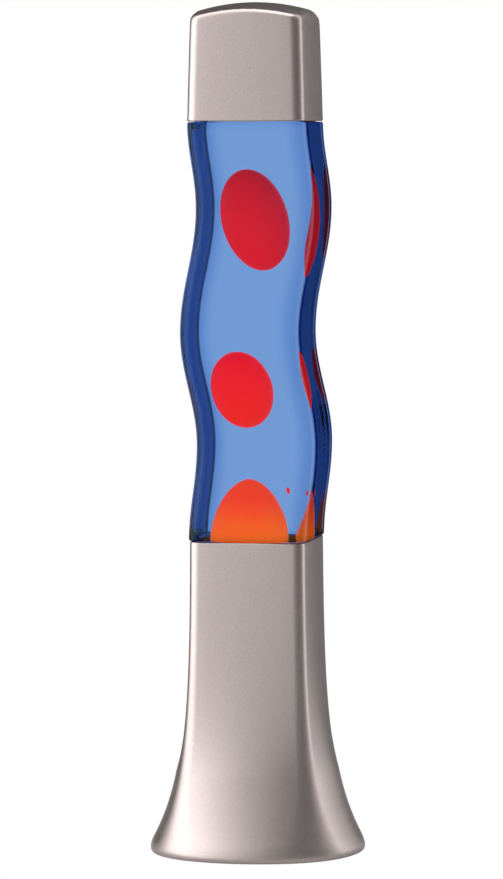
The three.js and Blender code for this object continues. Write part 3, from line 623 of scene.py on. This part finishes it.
class Studio:
    """The world's nodes: a light that depends on the direction round the lamp."""

    def __init__(self):
        self.world = bpy.data.worlds.new("studio")
        self.world.use_nodes = True
        self.tree = self.world.node_tree
        self.tree.nodes.clear()
        self.direction = self.node("ShaderNodeSeparateXYZ")
        self.link(self.node("ShaderNodeTexCoord").outputs["Generated"], self.direction.inputs["Vector"])

    def node(self, kind):
        return self.tree.nodes.new(kind)

    def link(self, source, target):
        self.tree.links.new(source, target)

    def math(self, operation, first, second):
        made = self.node("ShaderNodeMath")
        made.operation = operation
        for socket, value in zip(made.inputs, (first, second)):
            if isinstance(value, (int, float)):
                socket.default_value = value
            else:
                self.link(value, socket)
        return made.outputs["Value"]

    def azimuth(self):
        """0 to 1 once round the lamp, a half at the front face."""
        forward = self.math("MULTIPLY", self.direction.outputs["Y"], -1.0)
        turn = self.math("ARCTAN2", self.direction.outputs["X"], forward)
        return self.math("ADD", self.math("DIVIDE", turn, math.tau), 0.5)

    def ring(self, azimuth, levels):
        """A ramp of brightness round the lamp, as a share of STUDIO_PEAK."""
        made = self.node("ShaderNodeValToRGB")
        stops = made.color_ramp.elements
        stops.remove(stops[-1])
        for i, (degrees, level) in enumerate(levels):
            stop = stops[0] if i == 0 else stops.new((degrees + 180) / 360)
            stop.color = (*(level / STUDIO_PEAK,) * 3, 1)
        self.link(azimuth, made.inputs["Fac"])
        return made.outputs["Color"]

    def background(self, colour):
        made = self.node("ShaderNodeBackground")
        made.inputs["Strength"].default_value = STUDIO_PEAK
        if isinstance(colour, tuple):
            made.inputs["Color"].default_value = colour
        else:
            self.link(colour, made.inputs["Color"])
        return made.outputs["Background"]

    def mix(self, share, first, second):
        made = self.node("ShaderNodeMixShader")
        self.link(share, made.inputs["Fac"])
        self.link(first, made.inputs[1])
        self.link(second, made.inputs[2])
        return made.outputs["Shader"]

    def rise(self, low, high):
        """0 below low and 1 above high, by the height of the direction."""
        made = self.node("ShaderNodeMapRange")
        made.interpolation_type = "SMOOTHSTEP"
        made.inputs["From Min"].default_value = low
        made.inputs["From Max"].default_value = high
        self.link(self.direction.outputs["Z"], made.inputs["Value"])
        return made.outputs["Result"]


def build_studio():
    """A plain white sweep, which also shows through glass, and soft neutral lights to mirror."""
    studio = Studio()
    azimuth = studio.azimuth()
    lights = studio.background(studio.ring(azimuth, STUDIO))
    lights = studio.mix(studio.rise(OVERHEAD_START, OVERHEAD_FULL), lights, studio.background(OVERHEAD))
    white = studio.background((1 / STUDIO_PEAK,) * 3 + (1,))
    path = studio.node("ShaderNodeLightPath")
    seen = studio.mix(path.outputs["Is Transmission Ray"], lights, white)
    seen = studio.mix(path.outputs["Is Camera Ray"], seen, white)
    studio.link(seen, studio.node("ShaderNodeOutputWorld").inputs["Surface"])
    bpy.context.scene.world = studio.world


def build_floor():
    """A small pale disc. The sweep behind it is the world's, so glass looks past the disc."""
    rim = round_ring(FLOOR_RADIUS, 0.0)
    mesh = bpy.data.meshes.new("floor")
    mesh.from_pydata([tuple(c * MM for c in p) for p in rim], [], [range(len(rim))])
    floor = bpy.data.objects.new("floor", mesh)
    bpy.context.scene.collection.objects.link(floor)
    glow = {"Emission_Color": WHITE, "Emission_Strength": FLOOR_GLOW}
    look = Look("floor", Base_Color=FLOOR_GREY, Roughness=0.9, **glow)
    paint(floor, look.material)
    floor.visible_camera = False
    floor.visible_transmission = False


# ---- Assembly -------------------------------------------------------------------------------

build_camera()
build_studio()
build_floor()

looks = {
    "satin_silver": satin_silver(),
    "steel": grained("steel", (0.66, 0.67, 0.69), 0.3, metallic=1.0, grain=900.0, stretch=(1, 1, 0.1)),
    "brass": grained("brass", (0.72, 0.52, 0.2), 0.32, metallic=1.0, grain=1200.0),
    "aluminium": grained(
        "aluminium", (0.78, 0.79, 0.8), 0.28, metallic=1.0, grain=700.0, stretch=(1, 1, 0.1)
    ),
    "black_plastic": grained(
        "black_plastic", (0.018, 0.018, 0.02), 0.5, grain=1800.0, contrast=0.2, bump=0.00003
    ),
    "rubber": grained("rubber", (0.02, 0.02, 0.021), 0.8, grain=1500.0, contrast=0.25, bump=0.00004),
    "ceramic": grained("ceramic", (0.8, 0.78, 0.73), 0.25, grain=400.0, contrast=0.03),
    "brown_insulation": grained("brown_insulation", (0.15, 0.05, 0.02), 0.5, grain=900.0, contrast=0.1),
    "blue_insulation": grained("blue_insulation", (0.03, 0.11, 0.35), 0.5, grain=900.0, contrast=0.1),
    "bulb_glass": grained(
        "bulb_glass", (0.75, 0.76, 0.78), 0.18, metallic=0.85, grain=300.0, contrast=0.03
    ),
    "tungsten": grained("tungsten", (0.2, 0.19, 0.18), 0.4, metallic=1.0, grain=2000.0),
    "liner": grained("liner", (0.7, 0.7, 0.66), 0.6, grain=800.0, contrast=0.05),
    "bottle_glass": bottle_glass(),
    "blue_liquid": blue_liquid(),
    # Each wax's two colours are painted light and shade from the bulb below, lit low and shaded high, and
    # the number after the heights is a painted glow.
    "wax_orange": wax("wax_orange", (1.0, 0.145, 0.001), (0.97, 0.04, 0.008), 147, 175, 1.65),
    "wax_red": wax("wax_red", (0.98, 0.014, 0.005), (0.93, 0.003, 0.01), 210, 248, 1.6),
    "wax_dark_red": wax("wax_dark_red", (0.95, 0.006, 0.01), (0.5, 0.006, 0.013), 278, 348, 1.5, 0.9),
}

build_base(looks["satin_silver"])
build_cap(looks["satin_silver"])
build_bottle(looks["bottle_glass"], looks["blue_liquid"])
build_egg("wax_egg_upper", looks["wax_dark_red"], "wax_upper", "wax_dark_red", "wax_upper_blob", 0.16)
build_egg("wax_egg_middle", looks["wax_red"], "wax_middle", "wax_red", "wax_middle_blob", 0.126)
build_egg("wax_bead_small", looks["wax_red"], "wax_bead", "wax_red", "wax_droplet", 0.2, sides=24, layers=14)
build_dome(looks["wax_orange"])
build_crown(looks["steel"])

slot_of = {part["node"]: part["material_slot"] for part in frame["record"]["subparts"]}
for node, cad in frame["nodes"].items():
    paint(cad, looks[slot_of[node]])

bpy.context.scene.view_settings.view_transform = "Standard"
